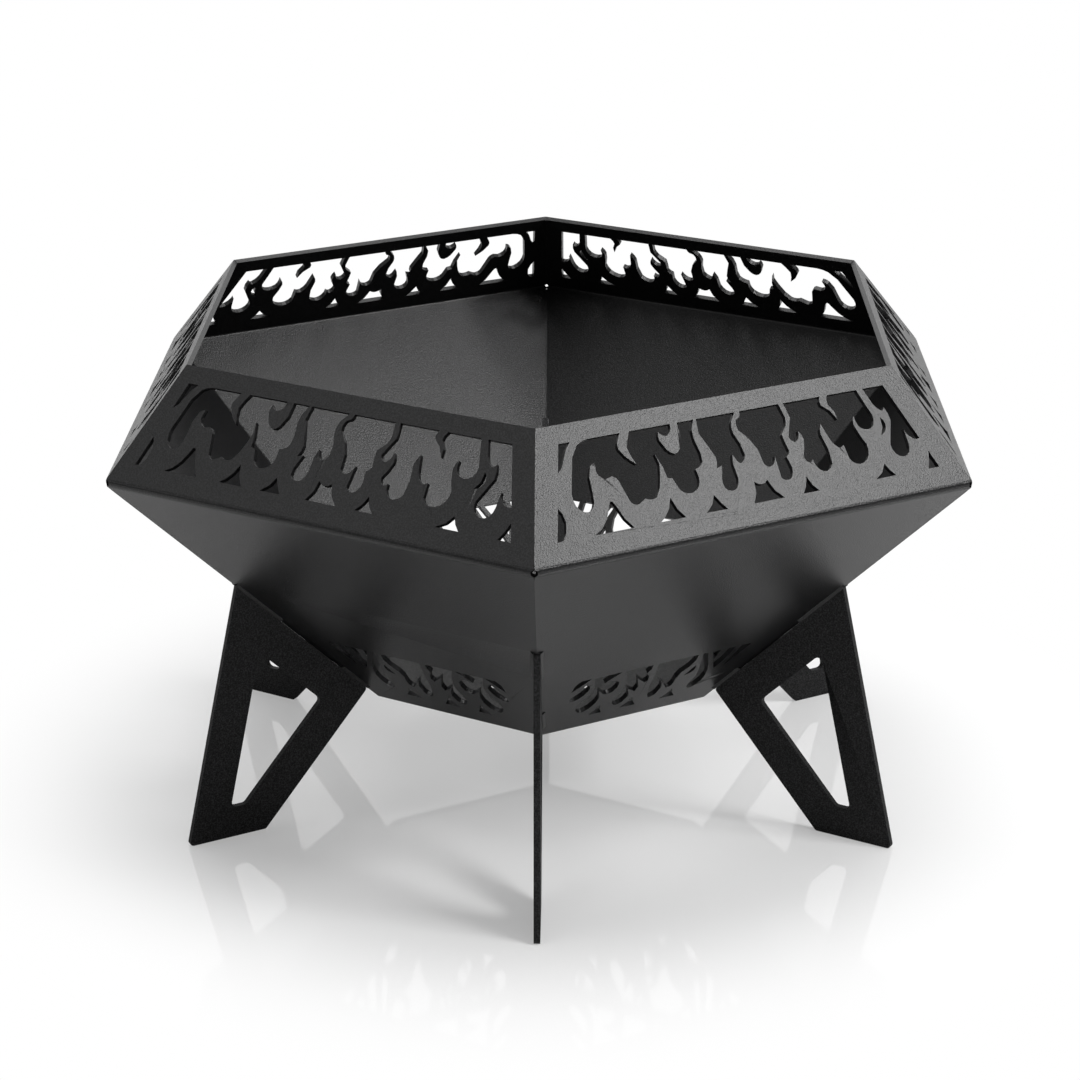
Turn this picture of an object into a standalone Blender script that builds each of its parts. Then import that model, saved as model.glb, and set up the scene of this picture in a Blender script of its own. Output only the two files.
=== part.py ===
"""Hexagonal fire pit in folded steel sheet, on six plug-in plate legs.

Six identical blanks are cut with flames, folded once along the widest line and
joined at the corners.  A hexagonal plate closes the bottom.  Each corner seam has
two slots, and a flat leg hooks into them and slides up the seam to lock.
Metres, +Z up, the feet stand on z = 0, the front corner points to -Y.
"""

import math

import bmesh
import bpy
from mathutils import Matrix, Vector

MM = 0.001
SIDES = 6
HALF_SECTOR = math.pi / SIDES

# Bowl: corner radii and heights of the outer face, measured to sharp corners
FOLD_RADIUS = 0.3018
FOLD_HEIGHT = 0.2527
RIM_RADIUS = 0.2444
RIM_HEIGHT = 0.3187
BASE_RADIUS = 0.1224
BASE_HEIGHT = 0.0746
SHEET = 0.0030
BEND_RADIUS = 0.0014
BEND_STEPS = 5
SEAM_GAP = 0.0003
RELIEF_HOLE = 0.0042
RELIEF_SIDES = 16

# Flame band on the upper flange: margins from the fold, the rim and the seams
UPPER_FOLD_MARGIN = 0.0155
UPPER_RIM_MARGIN = 0.0113
UPPER_SIDE_MARGIN = 0.0148

# Flame band on the lower flange: margin from the base edge, height and half width
LOWER_BASE_MARGIN = 0.0152
LOWER_BAND_HEIGHT = 0.0568
LOWER_BAND_HALF = 0.0660

# Base plate, dropped into the cone until its lower edge meets the walls
PLATE = 0.0030
PLATE_LIFT = 0.0012
PLATE_GAP = 0.0003
DRAIN_HOLE = 0.0100
DRAIN_RING = 0.0600
DRAIN_SIDES = 20

# Legs: outline in the radial plane, r outwards and z up
LEG_PLATE = 0.0040
LEG_TOP_RADIUS = 0.2191
LEG_TOP_LENGTH = 0.1242
FOOT_OUTER = 0.2591
FOOT_INNER = 0.2062
LEG_TOP_BAND = 0.0238
LEG_OUTER_BAND = 0.0238
LEG_INNER_BAND = 0.0236
LEG_FOOT_BAND = 0.0206
LEG_CORNER = 0.0022
WINDOW_CORNER = 0.0032
CORNER_STEPS = 4
RIDGE_GAP = 0.0003

# Slots and tabs, as distances down the seam from the leg's top corner
SLOT_SIDE_GAP = 0.0003
UPPER_SLOT_START = -0.0018
UPPER_TAB_START = -0.0015
TAB_SET_BACK = 0.0008
UPPER_TAB_END = 0.0258
HOOK_START = 0.0985
HOOK_NECK = 0.0100
HOOK_FINGER = 0.0120
HOOK_STOP_GAP = 0.0003
TAB_DEPTH = 0.0045
FINGER_DEPTH = 0.0060
FINGER_GAP = 0.0004
LOCK_TRAVEL = 0.0145
TRAVEL_END_GAP = 0.0003
LOWER_SLOT_SPARE = 0.0015

# Outline marks: a SHARP point is a corner, any other point lies on a smooth curve
SHARP = True
TURN_PER_STEP = math.radians(29.0)

# Frame in which the upper flames are drawn, in millimetres from the fold line
DRAWN_UPPER_LOW = 15.5
DRAWN_UPPER_HIGH = 70.3
DRAWN_UPPER_HALF_LOW = 129.9
DRAWN_UPPER_HALF_HIGH = 111.3

# Second blank: how far left its upper flames lie, in millimetres at the middle, with the
# changes towards the right end and towards both ends, for the band's low and high edge
SECOND_BLANK_DRIFT_LOW = (8.4, -1.0, -6.9)
SECOND_BLANK_DRIFT_HIGH = (4.9, -2.2, -2.7)

# Frame in which the lower flames are drawn, in millimetres from the base edge
DRAWN_LOWER_LOW = 15.2
DRAWN_LOWER_HIGH = 72.0
DRAWN_LOWER_HALF = 66.0

UPPER_FLAMES = {
    "corner_sliver": [
        (-111.3, 70.3, SHARP), (-103.9, 70.3, SHARP), (-107.9, 66.2), (-110.5, 61.8),
        (-113.6, 56.6), (-117.0, 53.6, SHARP),
    ],
    "left_crescent": [
        (-129.9, 15.5, SHARP), (-126.2, 15.8, SHARP), (-122.9, 20.0), (-121.1, 25.8),
        (-121.7, 30.9), (-123.5, 34.3, SHARP),
    ],
    "big_swirl": [
        (-92.3, 70.3, SHARP), (-71.5, 70.3, SHARP), (-74.6, 65.2), (-75.2, 61.0),
        (-72.0, 55.6), (-67.0, 50.9, SHARP), (-68.9, 56.3), (-69.7, 61.3),
        (-67.6, 65.9), (-65.0, 70.3, SHARP), (-38.0, 70.3, SHARP), (-39.2, 65.9),
        (-42.7, 63.8), (-45.6, 65.0), (-47.0, 66.9, SHARP), (-47.8, 61.9),
        (-45.2, 56.0), (-40.6, 52.6), (-36.6, 55.2), (-33.7, 61.6),
        (-33.2, 70.3, SHARP), (-22.1, 70.3, SHARP), (-25.2, 64.6), (-25.7, 58.5),
        (-24.4, 50.5), (-24.9, 45.2), (-28.0, 42.5), (-30.9, 41.6, SHARP),
        (-30.5, 36.5), (-32.2, 31.6), (-36.6, 28.8), (-41.4, 28.9),
        (-45.1, 32.0), (-47.2, 38.9, SHARP), (-50.4, 39.7, SHARP), (-51.1, 46.5),
        (-53.6, 54.6, SHARP), (-52.6, 48.6), (-54.4, 42.0), (-57.3, 34.6),
        (-61.0, 29.9), (-65.0, 29.3), (-68.2, 30.5, SHARP), (-71.2, 28.9),
        (-74.5, 27.8), (-78.0, 30.1), (-79.8, 37.3), (-81.2, 43.3),
        (-84.4, 46.6), (-88.6, 45.7), (-92.5, 48.2), (-93.3, 52.2),
        (-92.3, 56.3, SHARP), (-96.2, 54.1), (-98.6, 48.3), (-99.4, 40.0),
        (-100.3, 33.9), (-103.5, 29.7), (-108.0, 29.5), (-112.0, 33.6),
        (-112.5, 40.9), (-109.2, 50.4), (-105.5, 60.9), (-100.2, 67.7),
    ],
    "tall_triangle": [
        (-106.0, 15.5, SHARP), (-80.5, 15.5, SHARP), (-84.7, 21.4), (-87.6, 29.4),
        (-90.0, 32.7), (-92.2, 29.6), (-96.0, 22.9), (-100.6, 18.2),
    ],
    "second_triangle": [
        (-63.1, 15.5, SHARP), (-46.6, 15.5, SHARP), (-50.5, 21.2), (-52.5, 28.3, SHARP),
        (-55.6, 22.3), (-59.3, 18.0),
    ],
    "third_triangle": [
        (-32.8, 15.5, SHARP), (-18.6, 15.5, SHARP), (-21.7, 19.7), (-24.7, 25.0, SHARP),
        (-27.5, 19.8),
    ],
    "left_drop": [
        (-20.3, 70.3, SHARP), (5.9, 70.3, SHARP), (1.7, 64.7), (0.7, 58.3),
        (3.1, 50.9), (3.7, 44.3), (0.0, 40.2), (-2.6, 41.6),
        (-4.4, 46.0, SHARP), (-5.9, 40.5), (-5.6, 32.0), (-8.3, 26.4),
        (-12.2, 25.2), (-16.0, 27.5), (-16.2, 32.8), (-13.4, 40.8, SHARP),
        (-17.2, 39.7, SHARP), (-15.6, 46.5), (-18.4, 54.1), (-21.5, 61.7),
    ],
    "middle_drop": [
        (9.3, 70.3, SHARP), (36.6, 70.3, SHARP), (38.0, 62.0), (36.6, 56.9),
        (32.0, 52.2), (32.6, 46.0), (33.3, 41.8), (30.3, 38.8, SHARP),
        (31.5, 32.0), (29.4, 26.5), (25.7, 25.2), (22.3, 27.4),
        (22.5, 33.6), (22.8, 40.6, SHARP), (20.8, 36.5), (17.4, 34.8),
        (14.0, 37.1), (13.1, 46.0), (9.8, 53.2), (4.6, 59.6),
        (5.2, 65.6), (8.1, 66.9),
    ],
    "right_swirl": [
        (40.0, 70.3, SHARP), (65.6, 70.3, SHARP), (64.7, 65.0), (69.3, 60.9),
        (72.5, 55.0, SHARP), (72.1, 60.0), (69.3, 65.0), (71.1, 70.3, SHARP),
        (92.0, 70.3, SHARP), (94.2, 62.4), (96.9, 53.6), (95.1, 47.4),
        (90.3, 45.7), (85.7, 47.7), (84.1, 51.8), (83.9, 55.2, SHARP),
        (82.0, 50.0), (83.5, 43.9), (86.2, 37.0), (84.7, 30.1),
        (80.0, 26.6), (75.0, 26.8), (71.3, 30.5), (70.6, 39.2, SHARP),
        (66.5, 38.6), (62.8, 43.6), (60.0, 54.2, SHARP), (57.8, 47.9),
        (59.4, 38.5), (58.8, 29.5), (53.6, 25.9), (48.8, 28.2),
        (46.9, 34.4, SHARP), (43.9, 33.0), (41.4, 36.9), (44.0, 42.3),
        (45.4, 47.0), (43.5, 52.6, SHARP), (42.0, 48.0), (38.8, 46.4),
        (36.0, 50.0), (38.7, 55.8), (41.2, 61.0),
    ],
    "crown": [
        (-0.6, 15.5, SHARP), (20.1, 15.5, SHARP), (15.3, 20.8), (12.6, 27.6, SHARP),
        (8.2, 25.7), (3.8, 28.0, SHARP), (2.8, 21.4),
    ],
    "fourth_triangle": [
        (33.1, 15.5, SHARP), (44.4, 15.5, SHARP), (41.0, 19.4), (38.8, 25.1, SHARP),
        (36.3, 19.5),
    ],
    "fifth_triangle": [
        (84.4, 15.5, SHARP), (98.7, 15.5, SHARP), (95.6, 19.2), (93.5, 23.7, SHARP),
        (89.8, 18.6),
    ],
    "last_triangle": [
        (122.1, 15.5, SHARP), (129.9, 15.5, SHARP), (126.3, 26.1, SHARP), (124.5, 20.6),
    ],
    "small_eye": [
        (101.5, 51.5, SHARP), (103.7, 47.3), (101.9, 42.8), (98.2, 40.8, SHARP),
        (100.9, 45.3),
    ],
    "right_drop": [
        (96.5, 70.3, SHARP), (111.3, 70.3, SHARP), (123.4, 34.7, SHARP), (119.2, 35.1),
        (115.6, 39.0), (114.8, 42.2, SHARP), (114.7, 33.2), (112.9, 27.4),
        (108.2, 25.6), (103.5, 28.4), (102.1, 34.1), (105.0, 41.2),
        (108.1, 48.6), (106.5, 57.2, SHARP), (103.9, 55.3), (99.6, 60.7),
    ],
}

LOWER_FLAMES = {
    "left_crescent": [
        (-50.6, 72.0, SHARP), (-57.6, 72.0, SHARP), (-60.4, 66.0), (-60.0, 57.4, SHARP),
        (-57.0, 61.6), (-53.8, 67.0),
    ],
    "left_moon": [
        (-51.5, 64.4, SHARP), (-47.6, 60.2), (-46.4, 54.6), (-48.2, 48.2),
        (-52.2, 43.0), (-56.0, 43.4), (-56.4, 48.6), (-53.6, 56.6),
    ],
    "left_swirl": [
        (-48.8, 72.0, SHARP), (-29.0, 72.0, SHARP), (-33.2, 66.6), (-37.2, 60.6, SHARP),
        (-32.6, 61.4), (-28.4, 60.2), (-25.0, 56.0), (-23.9, 50.6),
        (-25.0, 45.0), (-28.4, 42.4), (-32.4, 44.8), (-37.9, 51.0, SHARP),
        (-35.2, 45.2), (-33.2, 39.0), (-33.0, 32.6), (-35.2, 26.2),
        (-39.2, 22.4), (-43.6, 24.2), (-46.4, 30.0), (-46.4, 36.4),
        (-43.8, 43.0), (-42.4, 49.4), (-43.0, 56.0), (-45.4, 63.6),
    ],
    "middle_swirl": [
        (-26.6, 72.0, SHARP), (-6.6, 72.0, SHARP), (-5.6, 66.6), (-6.8, 61.4, SHARP),
        (-3.4, 56.0), (-1.9, 50.8), (-3.2, 47.6, SHARP), (-7.2, 51.6),
        (-12.0, 57.0, SHARP), (-9.2, 50.6), (-6.3, 43.0), (-6.5, 37.0, SHARP),
        (-9.9, 40.2), (-14.4, 44.0, SHARP), (-11.0, 37.8), (-9.2, 31.4),
        (-10.2, 25.4), (-13.4, 21.8), (-17.2, 23.6), (-19.4, 29.6),
        (-18.8, 36.6), (-17.6, 43.6), (-18.8, 52.2), (-22.0, 62.4),
    ],
    "right_swirl": [
        (-2.6, 72.0, SHARP), (26.6, 72.0, SHARP), (27.9, 64.6), (26.4, 56.8),
        (22.6, 50.2), (21.5, 43.6), (22.5, 36.4), (21.6, 31.4),
        (18.8, 31.4), (14.6, 38.6), (9.0, 45.6, SHARP), (12.6, 39.8),
        (14.6, 33.0), (14.2, 26.0), (11.2, 21.6), (8.2, 23.8),
        (5.8, 31.2), (3.8, 39.0), (2.6, 47.0), (1.4, 55.0),
        (-0.6, 64.0),
    ],
    "small_moon": [
        (31.0, 56.4, SHARP), (32.6, 51.2), (31.0, 46.4), (27.0, 44.6, SHARP),
        (29.0, 50.0),
    ],
    "right_lobe": [
        (30.0, 72.0, SHARP), (33.6, 72.0, SHARP), (37.4, 63.0), (41.4, 54.0),
        (44.4, 45.4), (46.2, 37.4), (46.0, 30.0), (43.4, 24.0),
        (39.6, 22.0), (36.8, 25.6), (37.0, 32.0), (38.2, 38.4),
        (37.2, 46.0), (35.4, 53.0), (33.0, 62.0),
    ],
    "corner_fang": [
        (36.9, 72.0, SHARP), (54.4, 72.0, SHARP), (54.0, 63.4), (52.0, 53.6),
        (49.0, 45.2, SHARP),
    ],
    "corner_sliver": [
        (58.0, 72.0, SHARP), (66.0, 72.0, SHARP), (55.6, 45.4, SHARP), (56.8, 55.0),
        (57.8, 63.4),
    ],
    "first_triangle": [
        (-32.4, 15.2, SHARP), (-22.4, 15.2, SHARP), (-25.6, 20.8), (-28.0, 27.4, SHARP),
        (-29.6, 20.4),
    ],
    "second_triangle": [
        (-8.8, 15.2, SHARP), (2.6, 15.2, SHARP), (-1.4, 21.2), (-4.4, 28.2, SHARP),
        (-6.2, 20.8),
    ],
    "third_triangle": [
        (20.2, 15.2, SHARP), (31.8, 15.2, SHARP), (28.0, 20.8), (25.8, 27.0, SHARP),
        (23.6, 20.4),
    ],
}

POWDER_COAT = (0.016, 0.016, 0.017, 1.0)
LEG_COAT = (0.013, 0.013, 0.014, 1.0)
PLATE_COAT = (0.018, 0.018, 0.018, 1.0)


def flange_frame(low, high):
    """Outer face of a flange facing +X: origin, up-slope and outward directions."""
    low_point = Vector((low[0] * math.cos(HALF_SECTOR), 0.0, low[1]))
    high_point = Vector((high[0] * math.cos(HALF_SECTOR), 0.0, high[1]))
    slope = (high_point - low_point).normalized()
    outward = Vector((0.0, 1.0, 0.0)).cross(slope)
    return low_point, slope, outward, (high_point - low_point).length


FOLD = (FOLD_RADIUS, FOLD_HEIGHT)
RIM = (RIM_RADIUS, RIM_HEIGHT)
BASE = (BASE_RADIUS, BASE_HEIGHT)

# Seam ridge in the radial plane, from the fold down to the base
SEAM_DOWN = Vector((BASE_RADIUS - FOLD_RADIUS, 0.0, BASE_HEIGHT - FOLD_HEIGHT)).normalized()
SEAM_INWARD = Vector((SEAM_DOWN.z, 0.0, -SEAM_DOWN.x))
LEG_TOP_HEIGHT = FOLD_HEIGHT + (LEG_TOP_RADIUS - FOLD_RADIUS) * SEAM_DOWN.z / SEAM_DOWN.x
LEG_TOP = Vector((LEG_TOP_RADIUS, 0.0, LEG_TOP_HEIGHT))
UPPER_SLOT_END = UPPER_TAB_END + LOCK_TRAVEL + TRAVEL_END_GAP
LOWER_SLOT_START = HOOK_START - HOOK_STOP_GAP
LOWER_SLOT_END = HOOK_START + HOOK_NECK + LOCK_TRAVEL + LOWER_SLOT_SPARE


def clear_scene():
    for obj in list(bpy.data.objects):
        bpy.data.objects.remove(obj, do_unlink=True)


def new_collection(name):
    collection = bpy.data.collections.new(name)
    bpy.context.scene.collection.children.link(collection)
    return collection


def coat(name, colour, roughness):
    """Powder-coated steel."""
    material = bpy.data.materials.new(name)
    material.use_nodes = True
    shader = material.node_tree.nodes["Principled BSDF"]
    shader.inputs["Base Color"].default_value = colour
    shader.inputs["Roughness"].default_value = roughness
    shader.inputs["Metallic"].default_value = 0.0
    return material


def rounded_corner(before, corner, after, radius, steps):
    """Arc points that replace one corner of a straight-sided outline."""
    to_before = (before - corner).normalized()
    to_after = (after - corner).normalized()
    half = 0.5 * to_before.angle(to_after)
    centre = corner + (to_before + to_after).normalized() * radius / math.sin(half)
    start = corner + to_before * radius / math.tan(half) - centre
    end = corner + to_after * radius / math.tan(half) - centre
    return [centre + start.slerp(end, step / steps).normalized() * radius
            for step in range(steps + 1)]


def smooth_outline(points):
    """Closed outline through drawn points: straight between corners, curved elsewhere."""
    count = len(points)
    places = [Vector(point[:2]) for point in points]
    corner = [len(point) == 3 for point in points]
    outline = []
    for i in range(count):
        here, there = places[i], places[(i + 1) % count]
        outline.append(here)
        if corner[i] and corner[(i + 1) % count]:
            continue
        span = (there - here).length
        before, after = places[i - 1], places[(i + 2) % count]
        leave = (there - before).normalized() * span
        arrive = (after - here).normalized() * span
        if corner[i]:
            leave = 2.0 * (there - here) - arrive
        if corner[(i + 1) % count]:
            arrive = 2.0 * (there - here) - leave
        steps = max(1, math.ceil(leave.angle(arrive) / TURN_PER_STEP))
        for step in range(1, steps):
            t = step / steps
            outline.append(
                (2 * t**3 - 3 * t**2 + 1) * here + (t**3 - 2 * t**2 + t) * leave
                + (3 * t**2 - 2 * t**3) * there + (t**3 - t**2) * arrive)
    return outline


def flat_plate(name, outlines, thickness, matrix, collection):
    """Solid cut from flat plate: filled 2D outlines, centred on their plane."""
    curve = bpy.data.curves.new(name, "CURVE")
    curve.dimensions = "2D"
    curve.fill_mode = "BOTH"
    curve.extrude = 0.5 * thickness
    for outline in outlines:
        spline = curve.splines.new("POLY")
        spline.points.add(len(outline) - 1)
        for place, point in zip(outline, spline.points):
            point.co = (place[0], place[1], 0.0, 1.0)
        spline.use_cyclic_u = True
    drawn = bpy.data.objects.new(name, curve)
    bpy.context.scene.collection.objects.link(drawn)
    depsgraph = bpy.context.evaluated_depsgraph_get()
    mesh = bpy.data.meshes.new_from_object(drawn.evaluated_get(depsgraph))
    bpy.data.objects.remove(drawn, do_unlink=True)
    bpy.data.curves.remove(curve)
    close_up(mesh)
    mesh.name = name
    mesh.transform(matrix)
    solid = bpy.data.objects.new(name, mesh)
    collection.objects.link(solid)
    return solid


def close_up(mesh):
    """Weld a curve's loose caps and merge flat faces, so the solid is closed."""
    work = bmesh.new()
    work.from_mesh(mesh)
    bmesh.ops.remove_doubles(work, verts=work.verts, dist=1e-6)
    bmesh.ops.dissolve_limit(
        work, angle_limit=math.radians(0.5), verts=work.verts, edges=work.edges)
    bmesh.ops.recalc_face_normals(work, faces=work.faces)
    work.to_mesh(mesh)
    work.free()


def box(name, size, matrix, collection):
    """Rectangular block as a primitive."""
    work = bmesh.new()
    bmesh.ops.create_cube(work, size=1.0, matrix=matrix @ Matrix.Diagonal((*size, 1.0)))
    mesh = bpy.data.meshes.new(name)
    work.to_mesh(mesh)
    work.free()
    solid = bpy.data.objects.new(name, mesh)
    collection.objects.link(solid)
    return solid


def round_bar(name, diameter, length, sides, matrix, collection):
    """Cylinder along the local Z axis as a primitive."""
    work = bmesh.new()
    bmesh.ops.create_cone(
        work, cap_ends=True, segments=sides, radius1=0.5 * diameter,
        radius2=0.5 * diameter, depth=length, matrix=matrix)
    mesh = bpy.data.meshes.new(name)
    work.to_mesh(mesh)
    work.free()
    solid = bpy.data.objects.new(name, mesh)
    collection.objects.link(solid)
    return solid


def cut(target, cutter, operation="DIFFERENCE"):
    cutter.hide_render = True
    cutter.display_type = "WIRE"
    boolean = target.modifiers.new(cutter.name, "BOOLEAN")
    boolean.operation = operation
    boolean.solver = "EXACT"
    boolean.object = cutter


def apply_cuts(obj):
    """Replace an object's mesh by its evaluated one and shade the bend smooth."""
    depsgraph = bpy.context.evaluated_depsgraph_get()
    mesh = bpy.data.meshes.new_from_object(obj.evaluated_get(depsgraph))
    obj.modifiers.clear()
    obj.data = mesh
    mesh.name = obj.name
    mesh.shade_smooth()
    mesh.set_sharp_from_angle(angle=math.radians(30.0))


def matrix_from(origin, x_axis, y_axis, z_axis):
    return Matrix((
        (x_axis.x, y_axis.x, z_axis.x, origin.x),
        (x_axis.y, y_axis.y, z_axis.y, origin.y),
        (x_axis.z, y_axis.z, z_axis.z, origin.z),
        (0.0, 0.0, 0.0, 1.0)))


def panel_profile():
    """Cross-section of the folded sheet: base edge, bend and rim edge, in x and z."""
    base, lower_slope, lower_out, _ = flange_frame(BASE, FOLD)
    fold, upper_slope, upper_out, upper_length = flange_frame(FOLD, RIM)
    rim = fold + upper_slope * upper_length
    half_turn = 0.5 * lower_slope.angle(upper_slope)
    inward = -(lower_out + upper_out).normalized()
    inner_fold = fold + inward * SHEET / math.cos(half_turn)
    outer_bend = rounded_corner(base, fold, rim, BEND_RADIUS + SHEET, BEND_STEPS)
    inner_bend = rounded_corner(
        base - lower_out * SHEET, inner_fold, rim - upper_out * SHEET,
        BEND_RADIUS, BEND_STEPS)
    outline = [base] + outer_bend + [rim, rim - upper_out * SHEET]
    outline += inner_bend[::-1] + [base - lower_out * SHEET]
    return [(point.x, point.z) for point in outline]


def fit_upper(point, mirror):
    """Place a drawn flame point on the upper flange, in metres from its fold line."""
    length = flange_frame(FOLD, RIM)[3]
    span = DRAWN_UPPER_HIGH - DRAWN_UPPER_LOW
    share = (point[1] - DRAWN_UPPER_LOW) / span
    height = UPPER_FOLD_MARGIN + share * (length - UPPER_FOLD_MARGIN - UPPER_RIM_MARGIN)
    drawn_half = DRAWN_UPPER_HALF_LOW + share * (DRAWN_UPPER_HALF_HIGH - DRAWN_UPPER_HALF_LOW)
    radius = FOLD_RADIUS + (RIM_RADIUS - FOLD_RADIUS) * height / length
    real_half = radius * math.sin(HALF_SECTOR) - UPPER_SIDE_MARGIN
    across = point[0] / drawn_half
    drift = 0.0
    if mirror < 0:
        middle, right, ends = (
            low + share * (high - low)
            for low, high in zip(SECOND_BLANK_DRIFT_LOW, SECOND_BLANK_DRIFT_HIGH))
        drift = middle + right * across + ends * across**2
    return across * real_half - drift * MM, height


def fit_lower(point, mirror):
    """Place a drawn flame point on the lower flange, in metres from its base edge."""
    span = DRAWN_LOWER_HIGH - DRAWN_LOWER_LOW
    share = (point[1] - DRAWN_LOWER_LOW) / span
    height = LOWER_BASE_MARGIN + share * LOWER_BAND_HEIGHT
    return mirror * point[0] / DRAWN_LOWER_HALF * LOWER_BAND_HALF, height


def flame_cutter(name, outlines, low, high, collection):
    origin, slope, outward, _ = flange_frame(low, high)
    matrix = matrix_from(origin, Vector((0.0, 1.0, 0.0)), slope, outward)
    return flat_plate(name, outlines, 4.0 * SHEET, matrix, collection)


def slot_cutter(name, start, end, angle, collection):
    """Block that opens the seam for a leg between two distances down the ridge."""
    middle = LEG_TOP + SEAM_DOWN * 0.5 * (start + end)
    turn = Matrix.Rotation(angle, 4, "Z")
    lie = matrix_from(middle, SEAM_DOWN, Vector((0.0, 1.0, 0.0)), SEAM_DOWN.cross(
        Vector((0.0, 1.0, 0.0))))
    size = (end - start, LEG_PLATE + 2.0 * SLOT_SIDE_GAP, 8.0 * SHEET)
    return box(name, size, turn @ lie, collection)


def make_panel(name, mirror, parts, cutters):
    """One folded side panel facing +X; mirror is 1 for the first blank, -1 for the second."""
    upright = matrix_from(
        Vector((0.0, 0.0, 0.0)), Vector((1.0, 0.0, 0.0)), Vector((0.0, 0.0, 1.0)),
        Vector((0.0, -1.0, 0.0)))
    length = 2.0 * FOLD_RADIUS
    panel = flat_plate(name, [panel_profile()], length, upright, parts)

    reach = 1.5 * FOLD_RADIUS
    start = 0.5 * SEAM_GAP / math.sin(HALF_SECTOR)
    spread = (reach - start) * math.tan(HALF_SECTOR)
    level = Matrix.Translation((0.0, 0.0, 0.5 * RIM_HEIGHT))
    sector = flat_plate(
        name + "_sector", [[(start, 0.0), (reach, -spread), (reach, spread)]],
        2.0 * RIM_HEIGHT, level, cutters)
    cut(panel, sector, "INTERSECT")

    upper = [[fit_upper(p, mirror) for p in smooth_outline(o)] for o in UPPER_FLAMES.values()]
    lower = [[fit_lower(p, mirror) for p in smooth_outline(o)] for o in LOWER_FLAMES.values()]
    cut(panel, flame_cutter(name + "_upper_flames", upper, FOLD, RIM, cutters))
    cut(panel, flame_cutter(name + "_lower_flames", lower, BASE, FOLD, cutters))

    for side in (-1, 1):
        angle = side * HALF_SECTOR
        turn = Matrix.Rotation(angle, 4, "Z")
        across = Matrix.Translation((FOLD_RADIUS, 0.0, FOLD_HEIGHT))
        lie = Matrix.Rotation(math.pi / 2, 4, "Y")
        cut(panel, round_bar(
            f"{name}_relief_{side}", RELIEF_HOLE, 20.0 * SHEET, RELIEF_SIDES,
            turn @ across @ lie, cutters))
        cut(panel, slot_cutter(
            f"{name}_upper_slot_{side}", UPPER_SLOT_START, UPPER_SLOT_END, angle, cutters))
        cut(panel, slot_cutter(
            f"{name}_lower_slot_{side}", LOWER_SLOT_START, LOWER_SLOT_END, angle, cutters))
    apply_cuts(panel)
    return panel


def offset_line(start, end, distance):
    """Line moved sideways, to the right of its direction."""
    along = (end - start).normalized()
    return start + Vector((along.y, -along.x)) * distance, along


def crossing(line_a, line_b):
    (point_a, along_a), (point_b, along_b) = line_a, line_b
    gap = point_b - point_a
    scale = along_a.x * along_b.y - along_a.y * along_b.x
    return point_a + along_a * ((gap.x * along_b.y - gap.y * along_b.x) / scale)


def leg_outlines():
    """Outer outline and window of a leg, in r and z from the leg's top corner."""
    down = Vector((SEAM_DOWN.x, SEAM_DOWN.z))
    inward = Vector((SEAM_INWARD.x, SEAM_INWARD.z))
    shoulder = -inward * RIDGE_GAP

    def at(distance, depth):
        return shoulder + down * distance + inward * depth

    seam_turn = 0.5 * math.pi - math.acos(ridge_cosine())
    valley = RIDGE_GAP + SHEET / math.cos(seam_turn)
    finger_low = valley + 0.5 * LEG_PLATE * math.tan(seam_turn) + FINGER_GAP
    hook_end = HOOK_START + HOOK_NECK
    top, inner = at(0.0, 0.0), at(LEG_TOP_LENGTH, 0.0)
    foot_z = -LEG_TOP_HEIGHT
    foot_in = Vector((FOOT_INNER - LEG_TOP_RADIUS, foot_z))
    foot_out = Vector((FOOT_OUTER - LEG_TOP_RADIUS, foot_z))

    outer = [
        top, at(0.0, TAB_SET_BACK), at(UPPER_TAB_START, TAB_SET_BACK),
        at(UPPER_TAB_START, TAB_DEPTH),
        at(UPPER_TAB_END, TAB_DEPTH), at(UPPER_TAB_END, 0.0),
        at(HOOK_START, 0.0), at(HOOK_START, finger_low),
        at(HOOK_START - HOOK_FINGER, finger_low),
        at(HOOK_START - HOOK_FINGER, finger_low + FINGER_DEPTH),
        at(hook_end, finger_low + FINGER_DEPTH), at(hook_end, 0.0),
    ]
    outer += rounded_corner(outer[-1], inner, foot_in, LEG_CORNER, CORNER_STEPS)
    outer += rounded_corner(inner, foot_in, foot_out, LEG_CORNER, CORNER_STEPS)
    outer += rounded_corner(foot_in, foot_out, top, LEG_CORNER, CORNER_STEPS)

    sides = [
        offset_line(top, foot_out, LEG_OUTER_BAND),
        offset_line(foot_out, foot_in, LEG_FOOT_BAND),
        offset_line(foot_in, inner, LEG_INNER_BAND),
        offset_line(inner, top, LEG_TOP_BAND)]
    corners = [crossing(sides[i - 1], sides[i]) for i in range(4)]
    window = []
    for i in range(4):
        window += rounded_corner(
            corners[i - 1], corners[i], corners[(i + 1) % 4], WINDOW_CORNER, CORNER_STEPS)
    return [outer, window]


def ridge_cosine():
    """Cosine between a lower flange's normal and the radial plane of its seam."""
    outward = flange_frame(BASE, FOLD)[2]
    across = Vector((-math.sin(HALF_SECTOR), math.cos(HALF_SECTOR), 0.0))
    return abs(outward.dot(across))


def make_leg(name, parts):
    """One leg in the plane y = 0, its top corner at the origin."""
    upright = matrix_from(
        Vector((0.0, 0.0, 0.0)), Vector((1.0, 0.0, 0.0)), Vector((0.0, 0.0, 1.0)),
        Vector((0.0, -1.0, 0.0)))
    return flat_plate(name, leg_outlines(), LEG_PLATE, upright, parts)


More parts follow.
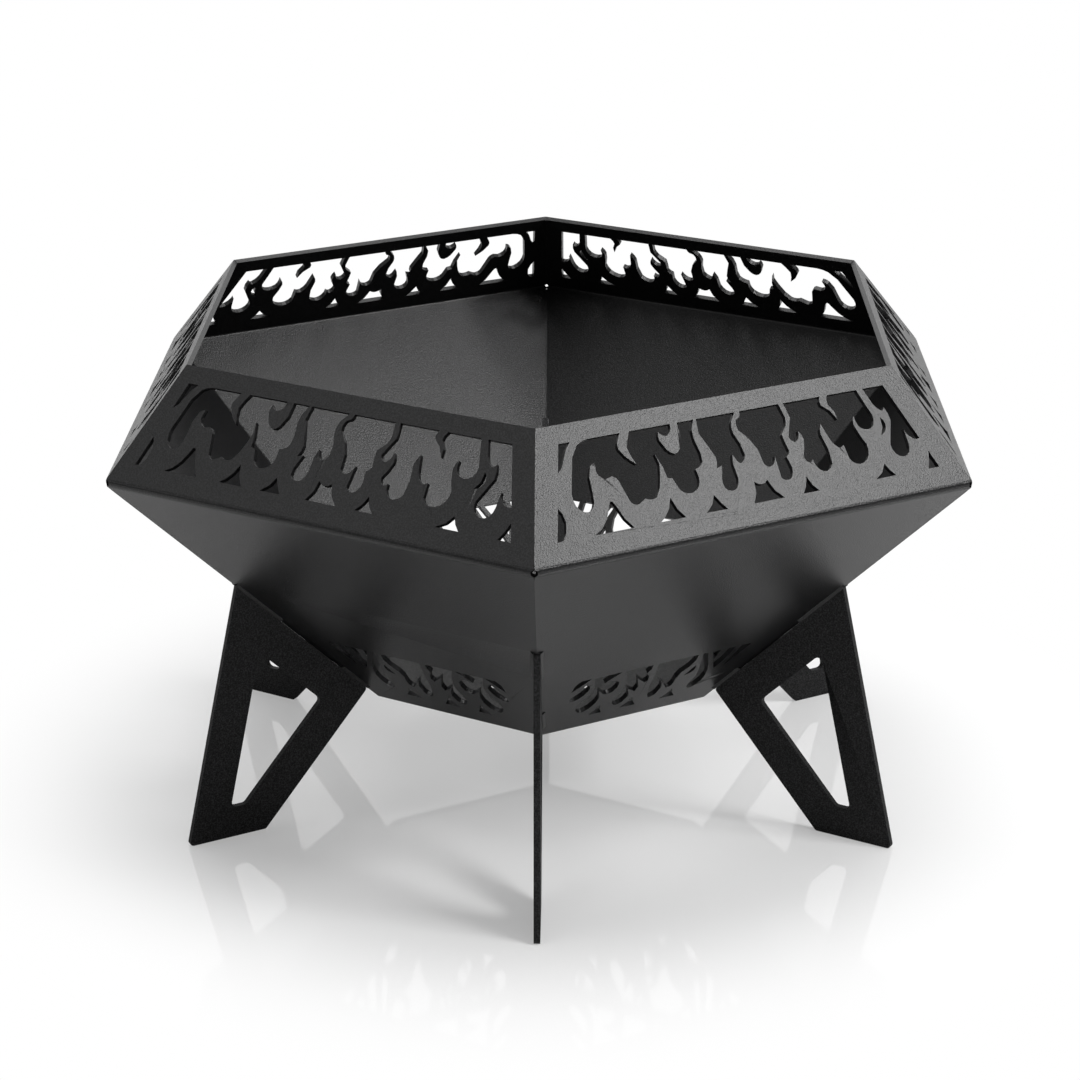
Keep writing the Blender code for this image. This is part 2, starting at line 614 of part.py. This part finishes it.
def make_base_plate(parts, cutters):
    """Hexagon that rests in the cone on its lower edge, with drain holes."""
    base, slope, outward, _ = flange_frame(BASE, FOLD)
    climb = slope.x / slope.z
    wall = SHEET / outward.x
    apothem = base.x - wall + PLATE_LIFT * climb - PLATE_GAP
    radius = apothem / math.cos(HALF_SECTOR)
    corners = []
    for i in range(SIDES):
        angle = (2 * i + 1) * HALF_SECTOR
        corners.append((radius * math.cos(angle), radius * math.sin(angle)))
    middle = BASE_HEIGHT + PLATE_LIFT + 0.5 * PLATE
    level = Matrix.Translation((0.0, 0.0, middle))
    plate = flat_plate("base_plate", [corners], PLATE, level, parts)
    for i in range(SIDES):
        angle = 2 * i * HALF_SECTOR
        place = Matrix.Translation(
            (DRAIN_RING * math.cos(angle), DRAIN_RING * math.sin(angle), middle))
        cut(plate, round_bar(
            f"drain_{i}", DRAIN_HOLE, 4.0 * PLATE, DRAIN_SIDES, place, cutters))
    apply_cuts(plate)
    return plate


def place_copies(template, names, turn_start, material, parts, location=None):
    """Copies of one piece round the pit, sharing its mesh."""
    template.data.materials.append(material)
    for i, name in enumerate(names):
        angle = turn_start + i * 2 * HALF_SECTOR
        copy = bpy.data.objects.new(name, template.data)
        copy.rotation_euler = (0.0, 0.0, angle)
        if location is not None:
            copy.location = Matrix.Rotation(angle, 3, "Z") @ location
        parts.objects.link(copy)
    bpy.data.objects.remove(template, do_unlink=True)


def main():
    clear_scene()
    parts = new_collection("fire_pit")
    cutters = new_collection("cutters")

    panel_coat = coat("panel_powder_coat", POWDER_COAT, 0.48)
    leg_coat = coat("leg_powder_coat", LEG_COAT, 0.52)
    plate_coat = coat("plate_powder_coat", PLATE_COAT, 0.60)

    # Two blanks take turns round the pit; the second one's lower flames are mirrored
    for mirror, first, names in (
            (1, -2 * HALF_SECTOR, ("front_right", "back_right", "left")),
            (-1, -4 * HALF_SECTOR, ("front_left", "right", "back_left"))):
        panel = make_panel("panel_blank", mirror, parts, cutters)
        panel.data.materials.append(panel_coat)
        for i, name in enumerate(names):
            copy = bpy.data.objects.new("side_panel_" + name, panel.data)
            copy.rotation_euler = (0.0, 0.0, first + i * 4 * HALF_SECTOR)
            parts.objects.link(copy)
        bpy.data.objects.remove(panel, do_unlink=True)

    leg = make_leg("leg_blank", parts)
    place_copies(
        leg, ["leg_" + side for side in (
            "front", "front_right", "back_right", "back", "back_left", "front_left")],
        -3 * HALF_SECTOR, leg_coat, parts, LEG_TOP)

    make_base_plate(parts, cutters).data.materials.append(plate_coat)


if __name__ == "__main__":
    main()
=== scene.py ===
"""Hexagonal fire pit: coats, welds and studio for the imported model.

Laid out as an add-on and run as a script.  Metres, +Z up, feet on z = 0, the
front corner of the pit points to -Y.
"""

import math

import bmesh
import bpy
from mathutils import Matrix, Vector


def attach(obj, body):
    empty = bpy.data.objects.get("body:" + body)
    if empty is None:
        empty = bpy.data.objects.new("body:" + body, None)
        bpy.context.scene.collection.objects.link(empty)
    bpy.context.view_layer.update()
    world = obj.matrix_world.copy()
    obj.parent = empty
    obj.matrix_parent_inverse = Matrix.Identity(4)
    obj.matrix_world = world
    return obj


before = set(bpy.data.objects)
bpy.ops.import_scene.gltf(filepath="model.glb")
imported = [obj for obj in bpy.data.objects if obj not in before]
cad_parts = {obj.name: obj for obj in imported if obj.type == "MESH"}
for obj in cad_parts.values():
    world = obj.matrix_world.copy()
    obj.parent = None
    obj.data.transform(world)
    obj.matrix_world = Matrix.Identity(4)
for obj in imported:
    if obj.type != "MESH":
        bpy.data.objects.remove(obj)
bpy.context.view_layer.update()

bl_info = {
    "name": "Hexagonal Fire Pit",
    "version": (1, 0, 0),
    "blender": (4, 5, 0),
    "location": "View3D > Sidebar > Fire Pit",
    "description": "Powder coat, seam welds and studio for a plug-together fire pit",
    "category": "Object",
}

SIDES = 6
HALF_SECTOR = math.pi / SIDES
CORNERS = ("front", "front_right", "back_right", "back", "back_left", "front_left")

# Outer corners of the bowl, radius and height, as in the solids
FOLD = (0.3018, 0.2527)
RIM = (0.2444, 0.3187)
BASE = (0.1224, 0.0746)
SHEET = 0.003
PLATE_TOP = 0.0788
PLATE_APOTHEM = 0.1028
RELIEF_HOLE = 0.0042
LEG_SLOT_WIDTH = 0.0046
LEG_SLOTS = ((0.1149, 0.1569), (0.2149, 0.2408))

# Stretches of weld down each seam from the fold, clear of relief holes and leg slots, and
# how far each stands proud; the one between the slots nearly meets the leg's top edge.
# Inside, each bites into the wall and fills the corner.
GROUND_PROUD = 0.00003
UPPER_WELD = (0.0062, 0.0872)
LOWER_WELDS = (
    ((0.0066, 0.1145), GROUND_PROUD),
    ((0.1573, 0.2145), 0.00026),
    ((0.2412, 0.2526), GROUND_PROUD))
ROOT_BITE = 0.0001
ROOT_FILLET = 0.00028

# Bead along each side of a leg's slot: how far it closes the gap, the width and height of
# its crest, and how far it reaches to the side and into the wall
BEAD_INTO_GAP = 0.00024
BEAD_CREST = (0.0003, 0.0004)
BEAD_REACH = 0.0040
BEAD_DEPTH = 0.0026

# Fillet between plate and walls: its root under the plate's top, and its bite into the wall
BASE_WELD_DEPTH = 0.0026
BASE_WELD_BITE = 0.0003

# Dark sleeve in a relief hole, painted shade that stands for the hole's shadowed cut edge: its
# outer and inner end, and the clear radius at each
HOLE_EDGE_ENDS = (0.2989, 0.2962)
HOLE_EDGE_RADII = (0.0013, 0.0011)
HOLE_EDGE_CHAMFER = 0.0002
HOLE_EDGE_FACES = 24

# Height of the coat's pebbles; where its mottling starts and ends on them with the share of its
# colour there, which paints shade into the hollows and light onto the crests besides random tone;
# and how far its roughness strays to both sides of the mean
COAT_RELIEF = 0.00015
COAT_TONES_AND_SHADE = ((0.38, 0.05), (0.70, 2.70))
SHEEN_RANGE = (0.30, 0.70)
SHEEN_SPREAD = 0.012

# Radii between which the floor fades to white, and its share of white at the pit
FLOOR_FADE = (0.24, 0.42)
FLOOR_WHITE_AT_PIT = 0.31
FLOOR_HALF_SIZE = 30.0
FLOOR_CLEARANCE = 0.0002

# Y part of a direction over which the white backdrop fades in, and the share of it that
# lights the pit besides its reflections
BACKDROP_FADE = (0.55, 0.80)
BACKDROP_SHARE = 0.6

LAMP_TARGET = (0.0, 0.0, 0.18)
KEY_PLACE, KEY_SIDE = (2.05, -0.80, 2.1), 1.0
TOP_PLACE, TOP_SIDE = (0.0, 0.3, 2.8), 2.2
FILL_PLACE, FILL_SIDE = (-2.2, -0.9, 2.0), 1.2

CAMERA_AZIMUTH = math.radians(0.85)
CAMERA_ELEVATION = math.radians(20.54)
CAMERA_ROLL = math.radians(-0.19)
CAMERA_DISTANCE = 1.8557
CAMERA_TARGET = (-0.0012, 0.0, 0.1605)


class FirePitCoat(bpy.types.PropertyGroup):
    """Powder coat, welds and the break of the cut edges."""

    panel_colour: bpy.props.FloatVectorProperty(
        name="Panel coat", description="Colour of the bowl's powder coat",
        subtype="COLOR", size=4, min=0.0, max=1.0, default=(0.005, 0.005, 0.0053, 1.0))
    leg_colour: bpy.props.FloatVectorProperty(
        name="Leg coat", description="Colour of the legs' powder coat",
        subtype="COLOR", size=4, min=0.0, max=1.0, default=(0.010, 0.010, 0.0105, 1.0))
    plate_colour: bpy.props.FloatVectorProperty(
        name="Plate coat", description="Colour of the base plate's powder coat",
        subtype="COLOR", size=4, min=0.0, max=1.0, default=(0.014, 0.014, 0.014, 1.0))
    grain: bpy.props.FloatProperty(
        name="Grain", description="Size of the coat's texture",
        subtype="DISTANCE", unit="LENGTH", default=0.0009, min=0.0003, max=0.005)
    roughness: bpy.props.FloatProperty(
        name="Roughness", description="Mean roughness of the bowl's coat",
        default=0.35, min=0.05, max=1.0)
    weld_width: bpy.props.FloatProperty(
        name="Weld width", description="Width of the ground seam welds",
        subtype="DISTANCE", unit="LENGTH", default=0.0011, min=0.0004, max=0.003)
    edge_break: bpy.props.FloatProperty(
        name="Edge break", description="Width of the softened cut edges",
        subtype="DISTANCE", unit="LENGTH", default=0.00035, min=0.0, max=0.001)


class FirePitStage(bpy.types.PropertyGroup):
    """Floor, lamps and lens."""

    floor_colour: bpy.props.FloatVectorProperty(
        name="Floor", description="Colour of the glossy floor",
        subtype="COLOR", size=4, min=0.0, max=1.0, default=(0.82, 0.82, 0.82, 1.0))
    key_power: bpy.props.FloatProperty(
        name="Key", description="Power of the softbox on the right",
        unit="POWER", default=56.0, min=0.0)
    top_power: bpy.props.FloatProperty(
        name="Top", description="Power of the softbox overhead",
        unit="POWER", default=64.0, min=0.0)
    fill_power: bpy.props.FloatProperty(
        name="Fill", description="Power of the softbox on the left",
        unit="POWER", default=5.5, min=0.0)
    world_level: bpy.props.FloatProperty(
        name="Room", description="Even light of the white room",
        default=0.32, min=0.0, max=2.0)
    lens: bpy.props.FloatProperty(
        name="Lens", description="Focal length in millimetres for a 36 mm sensor",
        default=93.54, min=10.0, max=300.0)


def finish_material(name):
    """New node material; returns the material, its tree and its shader."""
    material = bpy.data.materials.new(name)
    material.use_nodes = True
    tree = material.node_tree
    return material, tree, tree.nodes["Principled BSDF"]


def powder_coat(name, colour, coat, rougher, gloss):
    """Fine-textured matt powder coat: pebbled bump, uneven sheen and fine mottling, which is
    random tone and also painted shade in the pebbles' hollows and painted light on their crests.
    """
    material, tree, shader = finish_material(name)
    link = tree.links.new
    place = tree.nodes.new("ShaderNodeTexCoord")

    pebble = tree.nodes.new("ShaderNodeTexNoise")
    pebble.inputs["Scale"].default_value = 1.0 / coat.grain
    pebble.inputs["Detail"].default_value = 0.8
    pebble.inputs["Roughness"].default_value = 0.65
    link(place.outputs["Object"], pebble.inputs["Vector"])

    bump = tree.nodes.new("ShaderNodeBump")
    bump.inputs["Strength"].default_value = 1.0
    bump.inputs["Distance"].default_value = COAT_RELIEF
    link(pebble.outputs["Fac"], bump.inputs["Height"])
    link(bump.outputs["Normal"], shader.inputs["Normal"])

    # Painted shade and light: the coat's colour follows the pebbles' height, much darker in the
    # hollows, lighter on the crests
    tone = tree.nodes.new("ShaderNodeValToRGB")
    for stop, (position, share) in zip(tone.color_ramp.elements, COAT_TONES_AND_SHADE):
        stop.position = position
        stop.color = [share * c for c in colour[:3]] + [1.0]
    link(pebble.outputs["Fac"], tone.inputs["Fac"])
    link(tone.outputs["Color"], shader.inputs["Base Color"])

    sheen = tree.nodes.new("ShaderNodeMapRange")
    sheen.inputs["From Min"].default_value = SHEEN_RANGE[0]
    sheen.inputs["From Max"].default_value = SHEEN_RANGE[1]
    sheen.inputs["To Min"].default_value = coat.roughness + rougher - SHEEN_SPREAD
    sheen.inputs["To Max"].default_value = coat.roughness + rougher + SHEEN_SPREAD
    link(pebble.outputs["Fac"], sheen.inputs["Value"])
    link(sheen.outputs["Result"], shader.inputs["Roughness"])
    shader.inputs["Specular IOR Level"].default_value = gloss
    return material


def hole_painted_shade_material():
    """Near-black matt material for the sleeve in a small hole: painted shade that stands for the
    hole's shadowed cut edge.
    """
    material, tree, shader = finish_material("hole_painted_shade")
    place = tree.nodes.new("ShaderNodeTexCoord")
    scale = tree.nodes.new("ShaderNodeTexNoise")
    scale.inputs["Scale"].default_value = 2500.0
    tree.links.new(place.outputs["Object"], scale.inputs["Vector"])
    tone = tree.nodes.new("ShaderNodeValToRGB")
    # Painted shade: near-black with a faint random mottle
    tone.color_ramp.elements[0].color = (0.0010, 0.0010, 0.0010, 1.0)
    tone.color_ramp.elements[1].color = (0.0030, 0.0028, 0.0026, 1.0)
    tree.links.new(scale.outputs["Fac"], tone.inputs["Fac"])
    tree.links.new(tone.outputs["Color"], shader.inputs["Base Color"])
    shader.inputs["Roughness"].default_value = 0.9
    shader.inputs["Specular IOR Level"].default_value = 0.05
    return material


def coat_nodes(prefix, material, edge_break):
    """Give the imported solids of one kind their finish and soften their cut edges."""
    names = [name for name in sorted(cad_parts) if name.startswith(prefix)]
    if not names:
        raise RuntimeError("no packed solid is named " + prefix)
    for name in names:
        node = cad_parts[name]
        node.data.materials.clear()
        node.data.materials.append(material)
        join = node.modifiers.new("join_corners", "WELD")
        join.merge_threshold = 0.00002
        soften = node.modifiers.new("edge_break", "BEVEL")
        soften.width = edge_break
        soften.segments = 1
        soften.limit_method = "ANGLE"
        soften.angle_limit = math.radians(50.0)
        soften.harden_normals = True


def corner_turn(index):
    """Turn from +X to one of the pit's corners, counted from the front one."""
    return Matrix.Rotation((2 * index - 3) * HALF_SECTOR, 3, "Z")


def skin(work, rings, closed):
    """Faces between rings of points that have been added to a mesh."""
    count = len(rings[0])
    for i in range(len(rings) if closed else len(rings) - 1):
        here, there = rings[i], rings[(i + 1) % len(rings)]
        for j in range(count):
            k = (j + 1) % count
            work.faces.new((here[j], here[k], there[k], there[j]))


def loft(work, section, start, end, across, depth):
    """Prism between two points; the section's points are (sideways, deep)."""
    rings = [
        [work.verts.new(place + across * x + depth * y) for x, y in section]
        for place in (start, end)]
    skin(work, rings, closed=False)
    work.faces.new(rings[0][::-1])
    work.faces.new(rings[1])


def trim_piece(name, work, material):
    """Finish the mesh of a weld or a hole's edge and fix it to the bowl."""
    bmesh.ops.recalc_face_normals(work, faces=work.faces)
    mesh = bpy.data.meshes.new(name)
    work.to_mesh(mesh)
    work.free()
    mesh.materials.append(material)
    mesh.shade_smooth()
    mesh.set_sharp_from_angle(angle=math.radians(40.0))
    piece = bpy.data.objects.new(name, mesh)
    bpy.context.scene.collection.objects.link(piece)
    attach(piece, "bowl")


def seam_frame(low, high, turn):
    """Place and directions of the seam from the fold to another corner of the bowl.

    Returns the fold's corner, the directions along, across and into the seam, how squarely
    the walls face it, and how far their faces fall away to each side of it.
    """
    fold = Vector((low[0], 0.0, low[1]))
    run = (Vector((high[0], 0.0, high[1])) - fold).normalized()
    slope = Vector((run.x * math.cos(HALF_SECTOR), 0.0, run.z)).normalized()
    outward = Vector((abs(slope.z), 0.0, -math.copysign(slope.x, slope.x * slope.z)))
    outward = Matrix.Rotation(HALF_SECTOR, 3, "Z") @ outward.normalized()
    across = Vector((0.0, 1.0, 0.0))
    inward = run.cross(across)
    if inward.x > 0.0:
        inward = -inward
    facing = -outward.dot(inward)
    fall = math.tan(math.acos(facing))
    return turn @ fold, turn @ run, turn @ across, turn @ inward, facing, fall


def seam_stretch(work, low, high, stretch, width, proud, turn):
    """Weld between two panels that meet on the seam from the fold to another corner."""
    fold, run, across, inward, facing, fall = seam_frame(low, high, turn)
    half = 0.5 * width
    shoulder = 0.3 * half
    root = 0.4 * half
    thick = SHEET / facing
    section = (
        (-half, half * fall - GROUND_PROUD), (-shoulder, shoulder * fall - proud), (0.0, -proud),
        (shoulder, shoulder * fall - proud), (half, half * fall - GROUND_PROUD),
        (half, thick + half * fall - ROOT_BITE), (root, thick + ROOT_FILLET),
        (-root, thick + ROOT_FILLET), (-half, thick + half * fall - ROOT_BITE))
    start, end = (fold + run * distance for distance in stretch)
    loft(work, section, start, end, across, inward)


def slot_beads(work, stretch, turn):
    """Bead along both sides of a leg's slot, which closes the corner up to the leg."""
    fold, run, across, inward, _, fall = seam_frame(FOLD, BASE, turn)
    start, end = (fold + run * distance for distance in stretch)
    near = 0.5 * LEG_SLOT_WIDTH - BEAD_INTO_GAP
    crest_width, crest_height = BEAD_CREST
    for side in (-1.0, 1.0):
        section = (
            (near, -crest_height), (near + crest_width, -crest_height),
            (BEAD_REACH, BEAD_REACH * fall - GROUND_PROUD),
            (BEAD_REACH, BEAD_DEPTH), (near, BEAD_DEPTH))
        loft(work, [(side * x, y) for x, y in section], start, end, across, inward)


class FIREPIT_OT_side_panels(bpy.types.Operator):
    """Coat the six folded side panels"""

    bl_idname = "firepit.side_panels"
    bl_label = "Side Panels"

    def execute(self, context):
        coat = context.scene.firepit_coat
        material = powder_coat(
            "panel_powder_coat", coat.panel_colour, coat, rougher=0.0, gloss=0.36)
        coat_nodes("side_panel", material, coat.edge_break)
        return {"FINISHED"}


class FIREPIT_OT_seam_welds(bpy.types.Operator):
    """Weld the corner seams and close them along the leg slots"""

    bl_idname = "firepit.seam_welds"
    bl_label = "Seam Welds"

    def execute(self, context):
        width = context.scene.firepit_coat.weld_width
        material = bpy.data.materials["panel_powder_coat"]
        for i, corner in enumerate(CORNERS):
            turn = corner_turn(i)
            work = bmesh.new()
            seam_stretch(work, FOLD, RIM, UPPER_WELD, width, GROUND_PROUD, turn)
            for stretch, proud in LOWER_WELDS:
                seam_stretch(work, FOLD, BASE, stretch, width, proud, turn)
            for stretch in LEG_SLOTS:
                slot_beads(work, stretch, turn)
            trim_piece("seam_weld_" + corner, work, material)
        return {"FINISHED"}


class FIREPIT_OT_hole_edges(bpy.types.Operator):
    """Dark sleeve inside the relief hole at each corner of the fold, painted shade for the hole's
    shadowed cut edge
    """

    bl_idname = "firepit.hole_edges"
    bl_label = "Hole Edges"

    def execute(self, context):
        material = hole_painted_shade_material()
        hole = 0.5 * RELIEF_HOLE
        outer, inner = HOLE_EDGE_ENDS
        section = (
            (outer, hole), (outer - HOLE_EDGE_CHAMFER, HOLE_EDGE_RADII[0]),
            (inner + HOLE_EDGE_CHAMFER, HOLE_EDGE_RADII[1]), (inner, hole))
        for i, corner in enumerate(CORNERS):
            turn = corner_turn(i)
            work = bmesh.new()
            rings = []
            for j in range(HOLE_EDGE_FACES):
                angle = 2.0 * math.pi * j / HOLE_EDGE_FACES
                side, rise = math.cos(angle), math.sin(angle)
                rings.append([
                    work.verts.new(turn @ Vector((reach, radius * side, FOLD[1] + radius * rise)))
                    for reach, radius in section])
            skin(work, rings, closed=True)
            trim_piece("hole_edge_" + corner, work, material)
        return {"FINISHED"}


class FIREPIT_OT_base_plate(bpy.types.Operator):
    """Coat the base plate"""

    bl_idname = "firepit.base_plate"
    bl_label = "Base Plate"

    def execute(self, context):
        coat = context.scene.firepit_coat
        material = powder_coat(
            "plate_powder_coat", coat.plate_colour, coat, rougher=0.06, gloss=0.4)
        coat_nodes("base_plate", material, coat.edge_break)
        return {"FINISHED"}


class FIREPIT_OT_base_weld(bpy.types.Operator):
    """Fillet weld between the base plate and the walls"""

    bl_idname = "firepit.base_weld"
    bl_label = "Base Weld"

    def execute(self, context):
        climb = (FOLD[0] - BASE[0]) * math.cos(HALF_SECTOR) / (FOLD[1] - BASE[1])
        wall = SHEET * math.hypot(1.0, climb)

        def wall_at(height):
            """Distance of the walls' inner faces from the middle."""
            return BASE[0] * math.cos(HALF_SECTOR) + climb * (height - BASE[1]) - wall

        # From the toe on the plate over the hollow face to the wall, and back under
        top = PLATE_TOP
        root = top - BASE_WELD_DEPTH
        section = (
            (PLATE_APOTHEM - 0.0012, top - 0.0001), (PLATE_APOTHEM - 0.0009, top + 0.0003),
            (PLATE_APOTHEM + 0.0018, top + 0.0010), (wall_at(top + 0.0022), top + 0.0022),
            (wall_at(top + 0.0024) + BASE_WELD_BITE, top + 0.0024),
            (wall_at(root) + BASE_WELD_BITE, root), (PLATE_APOTHEM - 0.0002, root))
        work = bmesh.new()
        rings = []
        for i in range(SIDES):
            angle = (2 * i + 1) * HALF_SECTOR
            direction = Vector((math.cos(angle), math.sin(angle), 0.0)) / math.cos(HALF_SECTOR)
            rings.append([
                work.verts.new(direction * apothem + Vector((0.0, 0.0, height)))
                for apothem, height in section])
        skin(work, rings, closed=True)
        trim_piece("base_weld", work, bpy.data.materials["panel_powder_coat"])
        return {"FINISHED"}


class FIREPIT_OT_legs(bpy.types.Operator):
    """Coat the six plug-in legs"""

    bl_idname = "firepit.legs"
    bl_label = "Legs"

    def execute(self, context):
        coat = context.scene.firepit_coat
        material = powder_coat(
            "leg_powder_coat", coat.leg_colour, coat, rougher=0.25, gloss=0.22)
        coat_nodes("leg", material, coat.edge_break)
        return {"FINISHED"}


def glossy_floor(colour):
    """Glossy white floor that keeps the pit's shadow and runs out into the white backdrop."""
    material, tree, shader = finish_material("white_acrylic_floor")
    link = tree.links.new
    shader.inputs["Base Color"].default_value = colour
    shader.inputs["Roughness"].default_value = 0.045
    shader.inputs["Specular IOR Level"].default_value = 0.95

    place = tree.nodes.new("ShaderNodeTexCoord")
    reach = tree.nodes.new("ShaderNodeVectorMath")
    reach.operation = "LENGTH"
    link(place.outputs["Object"], reach.inputs[0])
    fade = tree.nodes.new("ShaderNodeMapRange")
    fade.interpolation_type = "SMOOTHSTEP"
    fade.inputs["From Min"].default_value = FLOOR_FADE[0]
    fade.inputs["From Max"].default_value = FLOOR_FADE[1]
    fade.inputs["To Min"].default_value = FLOOR_WHITE_AT_PIT
    link(reach.outputs["Value"], fade.inputs["Value"])
    path = tree.nodes.new("ShaderNodeLightPath")
    seen = tree.nodes.new("ShaderNodeMath")
    seen.operation = "MULTIPLY"
    link(fade.outputs["Result"], seen.inputs[0])
    link(path.outputs["Is Camera Ray"], seen.inputs[1])
    white = tree.nodes.new("ShaderNodeEmission")
    white.inputs["Strength"].default_value = 1.0
    sweep = tree.nodes.new("ShaderNodeMixShader")
    link(seen.outputs["Value"], sweep.inputs["Fac"])
    link(shader.outputs["BSDF"], sweep.inputs[1])
    link(white.outputs["Emission"], sweep.inputs[2])
    link(sweep.outputs["Shader"], tree.nodes["Material Output"].inputs["Surface"])
    return material


def room_light(world, level):
    """White room, dimmer as a light than as seen; gloss shows the white backdrop behind."""
    world.use_nodes = True
    tree = world.node_tree
    link = tree.links.new
    background = tree.nodes["Background"]
    background.inputs["Color"].default_value = (1.0, 1.0, 1.0, 1.0)
    path = tree.nodes.new("ShaderNodeLightPath")

    place = tree.nodes.new("ShaderNodeTexCoord")
    parts = tree.nodes.new("ShaderNodeSeparateXYZ")
    link(place.outputs["Generated"], parts.inputs["Vector"])
    behind = tree.nodes.new("ShaderNodeMapRange")
    behind.interpolation_type = "SMOOTHSTEP"
    behind.inputs["From Min"].default_value = BACKDROP_FADE[0]
    behind.inputs["From Max"].default_value = BACKDROP_FADE[1]
    link(parts.outputs["Y"], behind.inputs["Value"])
    share = tree.nodes.new("ShaderNodeMapRange")
    share.inputs["To Min"].default_value = BACKDROP_SHARE
    link(path.outputs["Is Glossy Ray"], share.inputs["Value"])
    mirrored = tree.nodes.new("ShaderNodeMath")
    mirrored.operation = "MULTIPLY"
    link(behind.outputs["Result"], mirrored.inputs[0])
    link(share.outputs["Result"], mirrored.inputs[1])

    shown = tree.nodes.new("ShaderNodeMath")
    shown.operation = "MAXIMUM"
    link(mirrored.outputs["Value"], shown.inputs[0])
    link(path.outputs["Is Camera Ray"], shown.inputs[1])
    strength = tree.nodes.new("ShaderNodeMapRange")
    strength.inputs["To Min"].default_value = level
    strength.inputs["To Max"].default_value = 1.0
    link(shown.outputs["Value"], strength.inputs["Value"])
    link(strength.outputs["Result"], background.inputs["Strength"])


def softbox(name, place, side, power):
    """Square softbox turned to the pit."""
    lamp = bpy.data.lights.new(name, "AREA")
    lamp.shape = "RECTANGLE"
    lamp.size = side
    lamp.size_y = side
    lamp.energy = power
    box = bpy.data.objects.new(name, lamp)
    bpy.context.scene.collection.objects.link(box)
    box.location = place
    box.rotation_euler = (
        Vector(LAMP_TARGET) - Vector(place)).to_track_quat("-Z", "Y").to_euler()


def photo_camera(lens):
    """Camera at the photograph's viewing angle."""
    back = Vector((
        math.sin(CAMERA_AZIMUTH) * math.cos(CAMERA_ELEVATION),
        -math.cos(CAMERA_AZIMUTH) * math.cos(CAMERA_ELEVATION),
        math.sin(CAMERA_ELEVATION)))
    optics = bpy.data.cameras.new("photo_camera")
    optics.lens = lens
    optics.sensor_width = 36.0
    camera = bpy.data.objects.new("photo_camera", optics)
    bpy.context.scene.collection.objects.link(camera)
    place = Vector(CAMERA_TARGET) + back * CAMERA_DISTANCE
    turn = (-back).to_track_quat("-Z", "Y").to_matrix().to_4x4()
    camera.matrix_world = Matrix.Translation(place) @ turn @ Matrix.Rotation(CAMERA_ROLL, 4, "Z")
    return camera


class FIREPIT_OT_stage(bpy.types.Operator):
    """Floor, lamps and the camera of the photograph"""

    bl_idname = "firepit.stage"
    bl_label = "Stage"

    def execute(self, context):
        stage = context.scene.firepit_stage
        work = bmesh.new()
        bmesh.ops.create_grid(work, x_segments=1, y_segments=1, size=FLOOR_HALF_SIZE)
        mesh = bpy.data.meshes.new("floor")
        work.to_mesh(mesh)
        work.free()
        mesh.materials.append(glossy_floor(stage.floor_colour))
        floor = bpy.data.objects.new("floor", mesh)
        context.scene.collection.objects.link(floor)
        floor.location.z = -FLOOR_CLEARANCE

        world = bpy.data.worlds.new("white_room")
        context.scene.world = world
        room_light(world, stage.world_level)
        softbox("key_softbox", KEY_PLACE, KEY_SIDE, stage.key_power)
        softbox("top_softbox", TOP_PLACE, TOP_SIDE, stage.top_power)
        softbox("fill_softbox", FILL_PLACE, FILL_SIDE, stage.fill_power)

        context.scene.camera = photo_camera(stage.lens)
        context.scene.view_settings.view_transform = "Standard"
        return {"FINISHED"}


OPERATORS = (
    FIREPIT_OT_side_panels,
    FIREPIT_OT_seam_welds,
    FIREPIT_OT_hole_edges,
    FIREPIT_OT_base_plate,
    FIREPIT_OT_base_weld,
    FIREPIT_OT_legs,
    FIREPIT_OT_stage,
)


class FIREPIT_PT_panel(bpy.types.Panel):
    """Sidebar panel with the pit's settings and pieces"""

    bl_idname = "FIREPIT_PT_panel"
    bl_label = "Fire Pit"
    bl_space_type = "VIEW_3D"
    bl_region_type = "UI"
    bl_category = "Fire Pit"

    def draw(self, context):
        for settings in (context.scene.firepit_coat, context.scene.firepit_stage):
            for name in settings.__annotations__:
                self.layout.prop(settings, name)
        for operator in OPERATORS:
            self.layout.operator(operator.bl_idname)


CLASSES = (FirePitCoat, FirePitStage, *OPERATORS, FIREPIT_PT_panel)


def register():
    for item in CLASSES:
        bpy.utils.register_class(item)
    bpy.types.Scene.firepit_coat = bpy.props.PointerProperty(type=FirePitCoat)
    bpy.types.Scene.firepit_stage = bpy.props.PointerProperty(type=FirePitStage)


def unregister():
    del bpy.types.Scene.firepit_stage
    del bpy.types.Scene.firepit_coat
    for item in reversed(CLASSES):
        bpy.utils.unregister_class(item)


def main():
    register()
    bpy.ops.firepit.side_panels()
    bpy.ops.firepit.seam_welds()
    bpy.ops.firepit.hole_edges()
    bpy.ops.firepit.base_plate()
    bpy.ops.firepit.base_weld()
    bpy.ops.firepit.legs()
    bpy.ops.firepit.stage()


if __name__ == "__main__":
    main()
